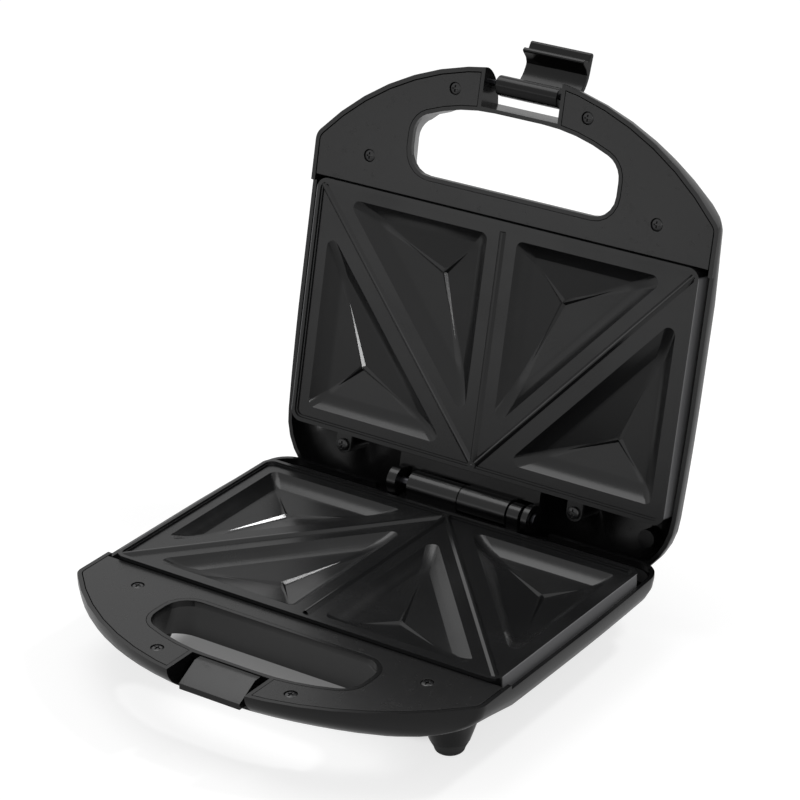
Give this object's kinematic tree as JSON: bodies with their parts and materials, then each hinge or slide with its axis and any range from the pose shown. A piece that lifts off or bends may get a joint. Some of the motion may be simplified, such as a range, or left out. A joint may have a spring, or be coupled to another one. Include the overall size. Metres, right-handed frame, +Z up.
{
  "type": "sandwich toaster",
  "caption": "Open two-slice sandwich toaster with ribbed triangular-pocket plates, hinged lid, looped handles with a front latch clip, and four round feet.",
  "frame": {"origin": "on the table under the middle of the open toaster", "axes": "+Z up, -Y towards the handles, +Y towards the hinge side, +X to the right"},
  "size_m": [0.2312, 0.298, 0.2557],
  "materials": {
    "housing_plastic": "glossy",
    "panel_plastic": "satin",
    "cover_plastic": "satin",
    "nonstick": "satin",
    "sheath_steel": "satin",
    "sheet_metal": "satin",
    "zinc_steel": "satin",
    "black_screw": "satin",
    "phenolic": "satin",
    "ceramic": "matte",
    "rubber_black": "matte",
    "clip_plastic": "glossy",
    "neon_glass": "glossy",
    "lens_red": "glossy",
    "lens_green": "glossy"
  },
  "bodies": {
    "base": {"base_housing": "housing_plastic", "base_handle_panel": "panel_plastic", "base_rear_cover": "cover_plastic", "base_cooking_plate": "nonstick", "base_heating_element": "sheath_steel", "base_element_clamps": "zinc_steel", "base_heat_shield": "sheet_metal", "base_shield_screws": "zinc_steel", "base_panel_screws": "black_screw", "base_rear_screws": "black_screw", "thermostat": "phenolic", "thermal_fuse": "ceramic", "terminal_block": "ceramic", "cord_inlet_grommet": "rubber_black", "rubber_feet": "rubber_black", "hinge_pin": "zinc_steel"},
    "lid": {"lid_housing": "housing_plastic", "lid_handle_panel": "panel_plastic", "lid_cooking_plate": "nonstick", "lid_heating_element": "sheath_steel", "lid_element_clamps": "zinc_steel", "lid_heat_shield": "sheet_metal", "lid_shield_screws": "zinc_steel", "lid_panel_screws": "black_screw", "lid_rear_screws": "black_screw", "lamp_holder": "ceramic", "neon_lamps": "neon_glass", "power_lamp_lens": "lens_red", "ready_lamp_lens": "lens_green", "latch_pin": "zinc_steel"},
    "latch": {"latch_clip": "clip_plastic"}
  },
  "joints": [
    {"name": "lid_hinge", "type": "hinge", "parent": "base", "child": "lid", "pos_m": [0, 0.06463, 0.0431], "axis": [1, 0, 0], "range_deg": [0, 102.5]},
    {"name": "latch_pivot", "type": "hinge", "parent": "lid", "child": "latch", "pos_m": [0, 0.11903, 0.24184], "axis": [1, 0, 0], "range_deg": [-4, 132]}
  ]
}
